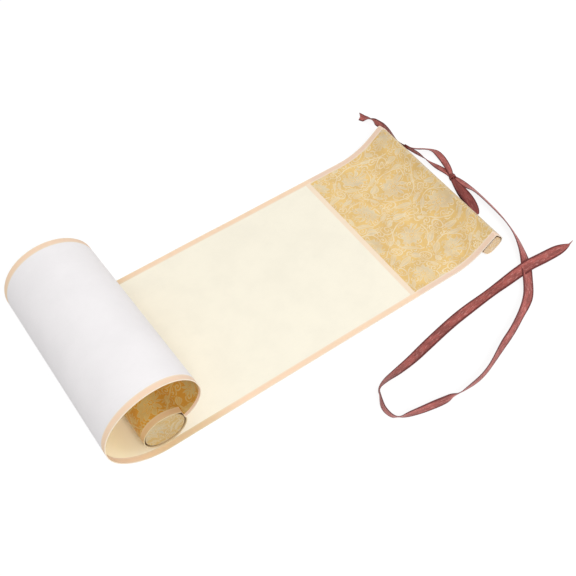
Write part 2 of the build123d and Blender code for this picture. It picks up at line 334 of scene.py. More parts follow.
def at(leg, distance, offset=0.0):
    """The point at a distance along a leg, offset to its right, and the heading there."""
    x, z, heading, _, curve = leg
    turned = heading + curve * distance
    if curve:
        x += (sin(turned) - sin(heading)) / curve
        z += (cos(heading) - cos(turned)) / curve
    else:
        x += distance * cos(heading)
        z += distance * sin(heading)
    return x + offset * sin(turned), z - offset * cos(turned), turned


def walk(moves, start, heading):
    """The moves laid end to end as legs."""
    legs = []
    x, z = start
    for length, curve in moves:
        legs.append(Leg(x, z, heading, length, curve))
        x, z, heading = at(legs[-1], length)
    return legs


def stave_wrap(sheet, head, lift_radius):
    """The way of the sheet round the stave and down to the table."""
    outer = head.back_round + sheet.lining
    tilt = head.tilt
    low_corner = ((head.stave_depth - head.back_round) * cos(tilt) - head.back_round * sin(tilt)
                  + head.back_round + sheet.lining + sheet.facing)
    seat_top = (low_corner + (head.stave_width - head.edge_round) * sin(tilt)
                + sheet.lining * cos(tilt))
    lift_top = sheet.lining + lift_radius * (1 - cos(tilt))
    flat = head.flat + (head.lift_radius - lift_radius) * tan(tilt / 2)
    return [run(head.stave_depth - head.back_round - head.tuck),
            bend(outer, pi / 2),
            run(head.stave_width - 2 * head.back_round),
            bend(outer, pi / 2),
            run(head.stave_depth - head.back_round - head.edge_round),
            bend(head.edge_round + sheet.lining, pi / 2),
            run((seat_top - lift_top) / sin(tilt)),
            bend(lift_radius, -tilt),
            run(flat)]


def curl_and_sleeve(sheet, curl, bend_radii):
    """The way of the sheet from the origin over the roller, into the crease and round the rod."""
    flat = sheet.divider_width + sheet.writing_length - sheet.writing_in_curl
    seam = curl.roller_radius + curl.sleeve_slack + sheet.lining
    axis_z = sheet.lining + 2 * sheet.facing + sheet.rest_gap + seam
    moves = [run(flat)] + [bend(radius, -turn) for radius, turn in zip(bend_radii, curl.turns)]
    last = walk(moves, (0, sheet.lining), pi)[-1]
    x, z, heading = at(last, last.length)
    reach = seam + curl.crease_standoff
    gap_x = reach * cos(curl.crease_at) - flat - x
    gap_z = axis_z + reach * sin(curl.crease_at) - z
    approach = curl.crease_approach
    # Lengths along both lines to the corner that the last bend of the curl rounds
    first = (gap_x * sin(approach) - gap_z * cos(approach)) / sin(approach - heading)
    second = (gap_z * cos(heading) - gap_x * sin(heading)) / sin(approach - heading)
    curl_turn = heading - approach + FULL_TURN
    leave = acos(seam / reach)
    crease_turn = approach - (curl.crease_at + leave + pi / 2)
    crease_back = curl.crease_round * tan(crease_turn / 2)
    curl_back = curl.end_fill * min(first, second - crease_back)
    return moves + [run(first - curl_back),
                    bend(curl_back / tan(curl_turn / 2), -curl_turn),
                    run(second - curl_back - crease_back),
                    bend(curl.crease_round, -crease_turn),
                    run(sqrt(reach ** 2 - seam ** 2) - crease_back),
                    bend(seam, FULL_TURN + curl.sleeve_end - curl.crease_at - leave)]


class SheetPath:
    """The rolled sheet: distances along it are measured on the mean of its two edges."""

    def __init__(self, scroll):
        sheet, head, curl = scroll.sheet, scroll.head, scroll.curl
        middle = [(near + far) / 2 for near, far in zip(curl.near_radii, curl.far_radii)]
        self.sheet = sheet
        self.near = self.legs(sheet, head, curl, curl.near_radii, head.near_lift_radius)
        self.far = self.legs(sheet, head, curl, curl.far_radii, head.far_lift_radius)
        self.mean = self.legs(sheet, head, curl, middle, head.lift_radius)
        lengths = [leg.length for leg in self.mean]
        self.starts = [sum(lengths[:place]) for place in range(len(lengths) + 1)]
        self.head_length = self.starts[WRITING_RUN]
        self.crease_end = self.starts[SLEEVE_RUN]
        self.length = self.starts[-1]
        self.head_seam = self.head_length + sheet.divider_start
        self.writing = self.head_length + sheet.divider_end
        self.writing_end = self.head_length + sheet.divider_width + sheet.writing_length
        self.tail = self.writing_end + sheet.divider_end - sheet.divider_start
        self.edge = sheet.width / 2
        self.inner = self.edge - sheet.tape_width
        self.narrow = self.inner - curl.roller_inset

    @staticmethod
    def legs(sheet, head, curl, bend_radii, lift_radius):
        start = stave_wrap(sheet, head, lift_radius)
        heading = pi - sum(length * curve for length, curve in start)
        rough = walk(start, (0, 0), heading)
        x, z, _ = at(rough[-1], rough[-1].length)
        return walk(start + curl_and_sleeve(sheet, curl, bend_radii),
                    (-x, sheet.lining - z), heading)

    def stations(self, begin, end):
        """Distances from begin to end, closer together where the sheet bends."""
        found = [begin]
        for leg, start in zip(self.mean, self.starts):
            low, high = max(begin, start), min(end, start + leg.length)
            if high - low < SHORTEST_LEG:
                continue
            count = max(ceil((high - low) / LONGEST_STEP),
                        ceil((high - low) * abs(leg.curve) / WIDEST_TURN), 1)
            found += [low + (high - low) * place / count for place in range(1, count + 1)]
        return found

    def spot(self, distance, y, offset):
        """The point of the sheet at a distance, a place across it and an offset above its seam."""
        place = max(index for index in range(len(self.mean))
                    if self.starts[index] <= distance + SAME_PLACE)
        part = (distance - self.starts[place]) / self.mean[place].length
        near, far = (at(edge[place], part * edge[place].length, offset)
                     for edge in (self.near, self.far))
        across = y / self.sheet.width + 0.5
        height = near[1] + (far[1] - near[1]) * across + self.ripple(distance, y)
        return Vector((near[0] + (far[0] - near[0]) * across, y + self.sheet.middle, height))

    def ripple(self, distance, y):
        """The slight waves of the flat paper: two that cross, none below the table."""
        start, end = self.head_length, self.starts[CURL_START]
        part = (distance - start) / (end - start)
        if not 0 < part < 1:
            return 0.0
        waves = sin(part * 9.0 + y * 22.0) + sin(part * 17.0 - y * 31.0 + 1.7) + 2.0
        return self.sheet.wave * 0.25 * waves * sin(pi * part) ** 2


# Modelling

SMOOTH_BELOW = radians(35)
RIM_ABOVE = radians(60)
ROUND_SIDES = 56
CORNER_STEPS = 8
FLAP_LAYER = (0.62, 0.80)
LINE_RESOLUTION = 14
RIBBON_ROWS = 10
FORK_REACH = 8 * MM
WRAP_POINTS, WRAP_TURN_POINTS = 11, 9
WRAP_GROWTH = 0.03


def deselect():
    bpy.ops.object.select_all(action="DESELECT")


def apply_modifier(piece, kind, **settings):
    modifier = piece.modifiers.new(kind.title(), kind)
    for name, value in settings.items():
        setattr(modifier, name, value)
    bpy.context.view_layer.objects.active = piece
    bpy.ops.object.modifier_apply(modifier=modifier.name)


def grid(name, columns, rows, place, lay):
    """A grid whose vertices are moved to place(column, row), its UV map being lay(column, row)."""
    deselect()
    bpy.ops.mesh.primitive_grid_add(x_subdivisions=columns, y_subdivisions=rows, size=1.0)
    piece = bpy.context.object
    piece.name = name
    mesh = piece.data
    cells = [(round((v.co.x + 0.5) * columns), round((v.co.y + 0.5) * rows))
             for v in mesh.vertices]
    laid = mesh.uv_layers.active.data
    for loop in mesh.loops:
        laid[loop.index].uv = lay(*cells[loop.vertex_index])
    for vertex, cell in zip(mesh.vertices, cells):
        vertex.co = place(*cell)
    return piece


def prism(name, outline, low, high, rim):
    """A solid with an outline in X and Z from low to high in Y, its rims rounded."""
    deselect()
    bpy.ops.mesh.primitive_circle_add(vertices=len(outline), radius=1.0, fill_type="NGON")
    piece = bpy.context.object
    piece.name = name
    mesh = piece.data
    for vertex, (x, z) in zip(mesh.vertices, outline):
        vertex.co = (x, low, z)
    bpy.ops.object.mode_set(mode="EDIT")
    bpy.ops.mesh.select_all(action="SELECT")
    bpy.ops.mesh.extrude_region_move(TRANSFORM_OT_translate={"value": (0, high - low, 0)})
    bpy.ops.mesh.select_all(action="SELECT")
    bpy.ops.mesh.normals_make_consistent(inside=False)
    bpy.ops.object.mode_set(mode="OBJECT")
    apply_modifier(piece, "BEVEL", width=rim, segments=2, limit_method="ANGLE",
                   angle_limit=RIM_ABOVE)
    laid = mesh.uv_layers.active.data
    for loop in mesh.loops:
        spot = mesh.vertices[loop.vertex_index].co
        laid[loop.index].uv = (spot.x, spot.z)
    return piece


def round_outline(centre, radius):
    turns = [FULL_TURN * place / ROUND_SIDES for place in range(ROUND_SIDES)]
    return [(centre[0] + radius * cos(turn), centre[1] + radius * sin(turn)) for turn in turns]


def sleeve_axis(path):
    """The middle of the sleeve, from the sheet's last leg."""
    x, z, heading, _, curve = path.mean[-1]
    return x - sin(heading) / curve, z + cos(heading) / curve


def stave_outline(path, head, setback=0.0, inset=0.0):
    """The stave's outline, its flat side set back and its upper side inset from the sheet."""
    x, z, heading = at(path.mean[STAVE_FACE], inset, -path.sheet.lining - setback)
    width, depth = head.stave_width - inset, head.stave_depth - setback
    edge, back = head.edge_round, head.back_round
    moves = [run(width - 2 * edge), bend(edge, pi / 2),
             run(depth - back - edge), bend(back, pi / 2),
             run(width - 2 * back), bend(back, pi / 2),
             run(depth - back - edge), bend(edge, pi / 2)]
    outline = []
    for leg in walk(moves, (x, z), heading):
        steps = CORNER_STEPS if leg.curve else 1
        outline += [at(leg, leg.length * step / steps)[:2] for step in range(steps)]
    return outline


def flap_outline(path, head):
    """The thin paper in the gap between the stave's end cover and the sheet."""
    leg = path.mean[STAVE_FACE]
    outer, inner = (-path.sheet.lining - part * head.cover_setback for part in FLAP_LAYER)
    start, end = head.cover_inset, head.stave_width - 2 * head.edge_round
    return [at(leg, along, offset)[:2] for along, offset in
            ((start, outer), (end, outer), (end, inner), (start, inner))]


def join(name, pieces):
    """Makes one piece of several, named anew."""
    deselect()
    for piece in pieces:
        piece.select_set(True)
    bpy.context.view_layer.objects.active = pieces[0]
    bpy.ops.object.join()
    pieces[0].name = name
    return pieces[0]


def finish(piece, material, slot, *nodes):
    """Gives a piece its material, its shading, its body and the solids that it stands for."""
    deselect()
    piece.select_set(True)
    bpy.context.view_layer.objects.active = piece
    bpy.ops.object.shade_smooth_by_angle(angle=SMOOTH_BELOW)
    piece.data.materials.clear()
    piece.data.materials.append(material)
    return settle(piece, slot, *nodes)


def settle(piece, slot, *nodes):
    """Puts a piece on the scroll's body in place of the solids that it stands for."""
    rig.ride(piece, BODY)
    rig.slot(piece, slot)
    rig.replaces(piece, *nodes)
    return piece


def rolled_strip(name, path, begin, end, edges, layer, rows):
    """A strip laid flat at its cut size, rolled onto the sheet's path and given its thickness."""
    stations = path.stations(begin, end)[::-1]
    y_low, y_high = edges
    low, high = layer

    def across(row):
        return y_low + (y_high - y_low) * row / rows

    piece = grid(name, len(stations) - 1, rows,
                 lambda column, row: path.spot(stations[column], across(row), low),
                 lambda column, row: (path.head_length - stations[column], across(row)))
    apply_modifier(piece, "SOLIDIFY", thickness=high - low, offset=1.0, use_even_offset=True)
    return piece


def strip_and_sleeve(path, begin, layer, rows):
    """A strip down to the crease, and the narrower one that goes on round the roller."""
    return [rolled_strip("strip", path, begin, path.crease_end, (-path.inner, path.inner),
                         layer, rows),
            rolled_strip("sleeve", path, path.crease_end, path.length,
                         (-path.narrow, path.narrow), layer, rows)]


def spline_points(values):
    """Points read from a smooth NURBS line whose control points are the values."""
    curve = bpy.data.curves.new("line", "CURVE")
    curve.dimensions = "3D"
    curve.resolution_u = LINE_RESOLUTION
    spline = curve.splines.new("NURBS")
    spline.points.add(len(values) - 1)
    for point, value in zip(spline.points, values):
        point.co = (*value, 1.0)
    spline.order_u = 3
    spline.use_endpoint_u = True
    holder = bpy.data.objects.new("line", curve)
    bpy.context.collection.objects.link(holder)
    bpy.context.view_layer.update()
    mesh = bpy.data.meshes.new_from_object(holder)
    points = [vertex.co.copy() for vertex in mesh.vertices]
    bpy.data.objects.remove(holder)
    bpy.data.curves.remove(curve)
    bpy.data.meshes.remove(mesh)
    return points


def ribbon_strip(name, sizes, route, across=None, start_cut=None):
    """A flat ribbon along a smooth line, and the line itself. Each point of the route is x, y and
    the height of the lower edge in millimetres, the roll in degrees and the share of the width.
    Across sets which way its width lies, and start_cut shapes its first end."""
    line = spline_points([(x * MM, y * MM, z * MM) for x, y, z, _, _ in route])
    twist = spline_points([(radians(roll), part, 0) for _, _, _, roll, part in route])
    last = len(line) - 1
    reach = [0.0]
    for before, after in zip(line, line[1:]):
        reach.append(reach[-1] + (after - before).length)
    half = sizes.width / 2
    frames = []
    for index, point in enumerate(line):
        along = (line[min(index + 1, last)] - line[max(index - 1, 0)]).normalized()
        side = Vector(across) if across else Vector((-along.y, along.x, 0))
        side = (side - side.dot(along) * along).normalized()
        up = along.cross(side)
        roll, part = twist[index].x, twist[index].y
        over = side * cos(roll) + up * sin(roll)
        out = up * cos(roll) - side * sin(roll)
        lift = 0.0 if across else abs(over.z) * half * part
        frames.append((point + Vector((0, 0, lift)), along, over * half * part, out))

    def place(column, row):
        centre, along, over, out = frames[column]
        v = 2 * row / RIBBON_ROWS - 1
        spot = centre + over * v + out * (sizes.cup * over.length * (1 - v * v))
        if start_cut:
            spot -= along * start_cut(v) * max(0.0, 1 - reach[column] / FORK_REACH)
        return spot

    piece = grid(name, last, RIBBON_ROWS, place,
                 lambda column, row: (reach[column], (2 * row / RIBBON_ROWS - 1) * half))
    apply_modifier(piece, "SOLIDIFY", thickness=sizes.thickness, offset=0.0)
    return piece, [tuple(centre) for centre, *_ in frames]


def forked_end(v):
    """How far the ribbon's slanting, notched end stands out, from v = -1 to 1 across it."""
    return (abs(v) * 1.1 + v * 1.1 - 0.6) * MM


def tied_knot(name, sizes, wraps):
    """A tied lump of ribbon: loops drawn tight, each round its own centre and in its own plane."""
    loops = []
    for place, (centre, axis, reach, part, start) in enumerate(wraps):
        axis = Vector(axis).normalized()
        first = axis.orthogonal().normalized()
        second = axis.cross(first)
        route = []
        for step in range(WRAP_POINTS):
            turn = radians(start) + FULL_TURN * step / WRAP_TURN_POINTS
            grow = 1 + WRAP_GROWTH * step
            spot = (Vector(centre) + first * (reach[0] * grow * cos(turn))
                    + second * (reach[1] * grow * sin(turn)))
            route.append((*spot, 0.0, part))
        loops.append(ribbon_strip(name + str(place), sizes, route, across=axis)[0])
    return join(name, loops)


# Shader maths

def does(operation, turned=False):
    """A method of a wire that adds one Math node. Turned, the wire is the second of its values."""

    def method(self, *others):
        values = (*others, self) if turned else (self, *others)
        return self.board.node("ShaderNodeMath", {"operation": operation},
                               dict(enumerate(values)))

    return method


class Wire:
    """A socket of a material, so that maths on it reads as a plain expression."""

    def __init__(self, board, socket):
        self.board = board
        self.socket = socket

    __add__ = __radd__ = does("ADD")
    __mul__ = __rmul__ = does("MULTIPLY")
    __sub__, __rsub__ = does("SUBTRACT"), does("SUBTRACT", turned=True)
    __truediv__ = does("DIVIDE")
    __mod__ = does("FLOORED_MODULO")
    __abs__ = does("ABSOLUTE")
    sin, cos, floor, root = does("SINE"), does("COSINE"), does("FLOOR"), does("SQRT")
    angle_from, least, most = does("ARCTAN2"), does("MINIMUM"), does("MAXIMUM")

    def step(self, low, high, start=0.0, end=1.0):
        """Goes smoothly from start to end while the value goes from low to high."""
        return self.board.node("ShaderNodeMapRange", {"interpolation_type": "SMOOTHSTEP"},
                               {0: self, 1: low, 2: high, 3: start, 4: end})

    def fade(self, low, high, start=1.0):
        """Goes smoothly from start to nothing while the value goes from low to high."""
        return self.step(low, high, start, 0.0)

    def beside(self, output):
        """Another output of the same node."""
        return Wire(self.board, self.socket.node.outputs[output])


def paint(tone):
    """A colour as a socket takes it: a wire, or a plain colour with its alpha."""
    return tone if isinstance(tone, Wire) else (*tone[:3], 1.0)


def shade(tone, factor):
    return [min(1.0, value * factor) for value in tone]


class Board:
    """The nodes of a material or of the world."""

    def __init__(self, owner):
        self.owner = owner
        owner.use_nodes = True
        self.tree = owner.node_tree
        self.tree.nodes.clear()

    def node(self, kind, settings=None, inputs=None, output=0):
        """Adds a node with its settings, fills its sockets and gives one of its outputs."""
        made = self.tree.nodes.new(kind)
        for name, value in (settings or {}).items():
            setattr(made, name, value)
        for socket, value in (inputs or {}).items():
            if isinstance(value, Wire):
                self.tree.links.new(value.socket, made.inputs[socket])
            elif value is not None:
                made.inputs[socket].default_value = value
        return Wire(self, made.outputs[output]) if made.outputs else None

    def in_mm(self, place):
        return self.node("ShaderNodeVectorMath", {"operation": "SCALE"},
                         {0: place, "Scale": 1 / MM})

    def laid(self):
        """Millimetres on the piece as it was laid flat: the place, then along and across alone."""
        place = self.in_mm(self.node("ShaderNodeUVMap", {"uv_map": "UVMap"}))
        return place, self.part(place, 0), self.part(place, 1)

    def part(self, vector, axis):
        return self.node("ShaderNodeSeparateXYZ", None, {0: vector}, axis)

    def vector(self, x, y, z=0.0):
        return self.node("ShaderNodeCombineXYZ", None, {0: x, 1: y, 2: z})

    def noise(self, place, scale, detail=3.0, rough=0.5, output=0):
        return self.node("ShaderNodeTexNoise", None, {
            "Vector": place, "Scale": scale, "Detail": detail, "Roughness": rough}, output)

    def mix(self, factor, first, second, blend="MIX"):
        """Blends two colours, each a wire or a plain colour."""
        return self.node("ShaderNodeMix", {"data_type": "RGBA", "blend_type": blend},
                         {0: factor, 6: paint(first), 7: paint(second)}, 2)

    def dim(self, factor, base, tone):
        return self.mix(factor, base, tone, "MULTIPLY")

    def bump(self, height, distance, strength):
        return self.node("ShaderNodeBump", None, {
            "Strength": strength, "Distance": distance * MM, "Height": height})

    def surface(self, base, roughness, normal, specular, others=None):
        """Ends the material in a Principled shader."""
        shader = self.node("ShaderNodeBsdfPrincipled", None, {
            "Base Color": base, "Roughness": roughness, "Normal": normal,
            "Specular IOR Level": specular, **(others or {})})
        self.node("ShaderNodeOutputMaterial", None, {"Surface": shader})
        return self.owner


def material_board(name):
    return Board(bpy.data.materials.new(name))


# Materials. Lengths in them are in millimetres, along the sheet from the head divider.

# Spans along the sheet where the rolled paper takes painted warm light and shows its painted glow
ROLLED_WARM_LIGHT = (-225.0, -190.0)
ROLLED_GLOW = (-240.0, -205.0)
GLOW_STRENGTH = 0.2
TAPE_THREAD = 0.55
TAPE_ROLLED = (-360.0, -262.0)
# Painted shade on the tape: warm brown on the sleeve, and at the foot of the curl, where the sheet leaves the table
TAPE_SLEEVE_SHADE = (0.82, 0.76, 0.56)
CURL_FOOT, CURL_FOOT_SHADE = -184.0, (0.78, 0.77, 0.62)
RIBBON_RIB = 0.6
# Colour of the painted glints on the satin
RIBBON_GLINT = (0.60, 0.26, 0.235)

# How golden the brocade is in three places, and the light in which it stands there, painted
# into its colour. Inside the curl, the deeper gold and the tone are painted shade and light
# bounced off the gold cloth.
SHADED_ROLLED_CLOTH = (2.0, (0.86, 0.91, 0.74))
ROLLER_END_CLOTH = (1.1, (0.70, 0.69, 0.64))
STAVE_END_CLOTH = (0.8, (0.92, 0.86, 0.88))
CLOTH_CLOUD_TONE = (0.88, 0.84, 0.81)
# Painted shade beside the stave's top fold
CLOTH_FOLD_SHADE = (0.80, 0.81, 0.86)

# The brocade's design, drawn on a cell whose blossom lies a little along and below its middle
BLOSSOM_ALONG, BLOSSOM_BELOW = 0.3, 3.4
CLOTH_DRIFT = 13.0
COILS = (  # middle, which way it winds, reach
    (11.4, 9.9, 1.0, 4.8), (-11.0, 9.2, -1.0, 4.6), (13.6, -9.6, -1.0, 3.8))
LEAVES = (  # middle, lean in degrees, half length, half width
    (-9.8, -12.2, -32, 5.8, 2.6), (8.8, -13.0, 24, 5.2, 2.3), (-4.8, 13.4, 16, 5.2, 2.3),
    (5.0, 13.0, -20, 5.0, 2.2), (-13.4, -3.6, 60, 4.0, 1.8), (12.8, 1.6, -58, 3.8, 1.7))


def paper_material(name, tone, clouded, mottle, rolled=None, glow=None):
    """Soft handmade paper: faint clouds, long fibres and a fine tooth. Where it is rolled up,
    painted warm light, as if bounced off the gold cloth, tints it, and a painted glow stands for
    daylight through the thin paper."""
    b = material_board(name)
    place, u, v = b.laid()
    clouds = b.noise(place, 0.035, 4.0, 0.6)
    fibres = b.noise(b.vector(u * 0.25, v * 1.6), 0.9, 4.0, 0.65)
    tooth = b.noise(place, 3.2, 3.0, 0.6)
    base = b.mix(clouds.step(0.35, 0.7), tone, shade(tone, clouded))
    base = b.mix(fibres.step(0.52, 0.72, 0.0, mottle), base, shade(tone, 0.9))
    normal = b.bump(tooth * 0.6 + fibres * 0.5, 0.05, 0.5)
    light = None
    if rolled is not None:
        # Painted warm light and a painted glow on the paper inside the curl
        base = b.mix(u.fade(*ROLLED_WARM_LIGHT), base, rolled)
        light = {"Emission Color": b.mix(u.fade(*ROLLED_GLOW), (0, 0, 0), glow),
                 "Emission Strength": GLOW_STRENGTH}
    return b.surface(base, 0.86, normal, 0.25, light)


def tape_material(scroll):
    """Peach paper tape, pinker beside the brocade, with paler edges. Painted shade makes it
    browner on the sleeve and where it leaves the table."""
    colours, path = scroll.colours, SheetPath(scroll)
    b = material_board("tape")
    place, u, v = b.laid()
    pink = u.step(-1.0, 4.0).most(u.fade(*TAPE_ROLLED) * 0.8)
    base = b.mix(pink, colours.tape, colours.tape_pink)
    cloud = b.noise(place, 0.12)
    base = b.mix(cloud.step(0.4, 0.7, 0.0, 0.4), base, shade(colours.tape, 0.93))
    threads = (u * (FULL_TURN / TAPE_THREAD)).sin() * (v * (FULL_TURN / TAPE_THREAD)).sin()
    crease = (path.head_length - path.crease_end) / MM
    sleeve = u.fade(crease - 0.5, crease + 0.5)
    inward = path.edge / MM - sleeve * (scroll.curl.roller_inset / MM) - abs(v)
    edge, lining_side = inward.fade(0.15, 0.75), inward.step(2.9, 4.0)
    base = b.mix(edge.most(lining_side * 0.7) * 0.6, base, shade(colours.paper, 0.96))
    # Painted shade on the sleeve and at the curl's foot
    base = b.dim(sleeve, base, TAPE_SLEEVE_SHADE)
    base = b.dim(abs(u - CURL_FOOT).fade(8.0, 46.0, 0.8), base, CURL_FOOT_SHADE)
    normal = b.bump(threads * 0.5 + b.noise(place, 1.2) * 0.8, 0.04, 0.6)
    return b.surface(base, 0.78, normal, 0.3)


def polar(x, y):
    return (x * x + y * y).root(), y.angle_from(x)


def highest(first, *others):
    for other in others:
        first = first.most(other)
    return first


def turned_by(x, y, turn):
    """A point turned back by an angle, plain or on a wire."""
    c, s = (turn.cos(), turn.sin()) if isinstance(turn, Wire) else (cos(turn), sin(turn))
    return x * c + y * s, y * c - x * s


def brocade_cell(u, v, sizes):
    """Folds the cloth onto one cell of the design: columns of vines, each mirrored in the next."""
    column, repeat = sizes.column / MM, sizes.repeat / MM
    lane = (v / column).floor()
    odd = lane % 2.0
    q = (v - (lane + 0.5) * column) * (1.0 - 2.0 * odd)
    shifted = u + odd * (repeat * 0.25)
    half = (shifted / (repeat / 2)).floor()
    flipped = half % 2.0
    p = shifted - (half + 0.5) * (repeat / 2)
    return p, q * (1.0 - 2.0 * flipped), flipped


def vine(p, q, sizes):
    """The stem, a wave that goes on from cell to cell, and the tendril that winds off it."""
    wave, repeat, stem = sizes.wave / MM, sizes.repeat / MM, sizes.stem / MM
    k = FULL_TURN / repeat
    slope = (p * k).sin() * (wave * k)
    main = stem - abs(q - (p * k).cos() * wave) / (slope * slope + 1.0).root()
    rho, phi = polar(p - BLOSSOM_ALONG, q + BLOSSOM_BELOW)
    turned = (phi - radians(167)) % FULL_TURN
    arm = stem * 0.9 - abs(rho - (16.2 - turned * 2.0))
    return main.most(arm.least((3.4 - turned) * 6.0))


def petals(rho, phi, count, middle, length, width):
    """A ring of rounded petals with gaps between them."""
    arc = abs((phi + pi) % (FULL_TURN / count) - pi / count) * rho
    along = (rho - middle) * (1.0 / length)
    return (1.0 - along * along) * width - arc


def flower(p, q, flipped, sizes):
    """A full blossom: a heart, small petals round it and long ones that close up on one side."""
    grow = sizes.flower / MM / 10.0
    rho, phi = polar((p - BLOSSOM_ALONG) / grow, (q + BLOSSOM_BELOW) * (1.16 / grow))
    turned = phi + flipped * 2.4
    outer = petals(rho, turned, 11, 6.5, 3.6, turned.cos() * 0.9 + 1.9)
    inner = petals(rho, phi + 0.5, 7, 3.6, 1.9, 1.3)
    heart = 1.25 - rho
    inner = inner.least(-0.45 - heart)
    return outer.least(-0.5 - inner).least(-2.2 - heart).most(inner).most(heart)


def curls_and_leaves(p, q, sizes):
    """The coils that the tendrils end in, and toothed leaves with a pale rib."""
    found = []
    for x, y, turn, reach in COILS:
        rho, phi = polar(p - x, q - y)
        coil = (rho / 2.6 - phi * (turn / FULL_TURN) + 0.3) % 1.0
        found.append((sizes.stem / MM * 0.85 - abs(coil - 0.5) * 2.6).least(reach - rho))
    for x, y, lean, length, width in LEAVES:
        along, over = turned_by(p - x, q - y, radians(lean))
        over = abs(over)
        teeth = abs((along * 2.4).sin()) * 0.3
        blade = (1.0 - (along / length) * (along / length)) * width - over - teeth
        found.append(blade.least(over - 0.16))
    return highest(*found)


def sprigs(b, place, clear, density):
    """Small leaves and curls strewn over the ground, turned their own ways, clear of the vines."""
    spots = b.node("ShaderNodeTexVoronoi", {"voronoi_dimensions": "2D", "feature": "F1"},
                   {"Vector": place, "Scale": density, "Randomness": 0.75}, "Position")
    chance = spots.beside("Color")
    local = b.node("ShaderNodeVectorMath", {"operation": "SUBTRACT"}, {0: place, 1: spots})
    x, y = turned_by(b.part(local, 0), b.part(local, 1), b.part(chance, 0) * FULL_TURN)
    rho, phi = polar(x + 1.3, y)
    leaf = ((phi * 7.0).cos() * 0.5 + 0.5) * 3.0 + 0.2 - rho
    leaf = leaf.least((1.35 - abs(phi)) * rho + 0.3)
    rho, phi = polar(x, y)
    coil = (rho / 2.0 - phi * (1 / FULL_TURN)) % 1.0
    curl = (0.40 - abs(coil - 0.5) * 2.0).least(2.9 - rho)
    kind = b.part(chance, 1).fade(0.54, 0.56)
    return (leaf * kind + curl * (1.0 - kind)).least(clear)


def brocade_material(scroll, name, depth=1.0, tone=(1.0, 1.0, 1.0), fold=None):
    """Gold brocade with a pale satin figure, woven from fine threads. The depth makes it more
    golden and the tone dims it. Inside the curl, both paint shade and light bounced off the gold
    cloth. Along a sharp fold, a wide painted shade darkens it, with a thin brown line right on it."""
    colours, sizes = scroll.colours, scroll.brocade
    b = material_board(name)
    place, u, v = b.laid()
    drift = b.noise(place, 0.05, 1.0, output="Color")
    drifted = [way + (b.part(drift, axis) - 0.5) * CLOTH_DRIFT for axis, way in enumerate((u, v))]
    p, q, flipped = brocade_cell(*drifted, sizes)
    stems = vine(p, q, sizes).least((b.noise(place, 0.09, 2.0) - 0.44) * 14.0)
    figure = highest(stems, flower(p, q, flipped, sizes), curls_and_leaves(p, q, sizes))
    figure = figure.most(sprigs(b, place, -0.6 - figure, 0.20))
    figure = figure + (b.noise(place, 2.0, 2.0) - 0.5) * 0.4
    mask = figure.step(-0.22, 0.22)
    outline = abs(figure - 0.16).fade(0.05, 0.34)
    pitch = FULL_TURN / (sizes.thread / MM)
    twill, satin = (way.sin() * 0.5 + 0.5 for way in ((u + v) * pitch, v * pitch))
    ground = [part * channel ** depth for part, channel in zip(tone, colours.gold)]
    light = [part * channel ** (1 + (depth - 1) * 0.7) for part, channel in zip(tone, colours.pale)]
    gold = b.mix(twill, shade(ground, 0.94), shade(ground, 1.05))
    gold = b.mix(b.noise(place, 0.06).step(0.35, 0.7, 0.0, 0.8), gold, shade(ground, 0.88))
    pale = b.mix(satin, shade(light, 0.95), shade(light, 1.04))
    faded = b.noise(place, 0.11, 3.0, 0.6).step(0.36, 0.64, 0.55, 1.0)
    base = b.mix(mask * faded, gold, pale)
    base = b.mix(outline * faded * 0.8, base, shade(light, 1.22))
    clouds = b.noise(b.vector(u + 40.0, v * 0.7), 0.06, 3.0, 0.6)
    base = b.dim(clouds.step(0.42, 0.68, 0.0, 0.75), base, CLOTH_CLOUD_TONE)
    if fold:
        # A wide painted shade beside the fold, and a thin brown line right on it
        off = abs(u - fold)
        base = b.dim(off.fade(3.0, 24.0, 0.8), base, CLOTH_FOLD_SHADE)
        base = b.mix(off.fade(0.8, 1.9, 0.7), base, shade(colours.wood, 0.7))
    bare = 1.0 - mask
    relief = mask * 0.8 + outline * 0.5 + twill * bare * 0.5 + satin * mask * 0.3
    return b.surface(base, mask * -0.06 + 0.54, b.bump(relief, 0.07, 0.8), 0.4,
                     {"Metallic": bare * 0.10, "Sheen Weight": 0.1})


def wood_material(scroll, name, tone=1.0):
    """Plain turned softwood with long grain. The tone darkens it, which paints the shade in the slits at the ends."""
    b = material_board(name)
    place = b.in_mm(b.node("ShaderNodeTexCoord", output="Object"))
    x, y, z = (b.part(place, axis) for axis in range(3))
    grain = b.noise(b.vector(x, y * 0.04, z), 0.9, 5.0, 0.6)
    rings = ((x * 0.8 + z * 0.5 + grain * 3.0) * 1.7).sin() * 0.5 + 0.5
    light, dark = (shade(scroll.colours.wood, tone * part) for part in (1.1, 0.7))
    base = b.mix(rings * 0.6 + grain * 0.3, light, dark)
    return b.surface(base, 0.6, b.bump(grain, 0.1, 0.5), 0.15)


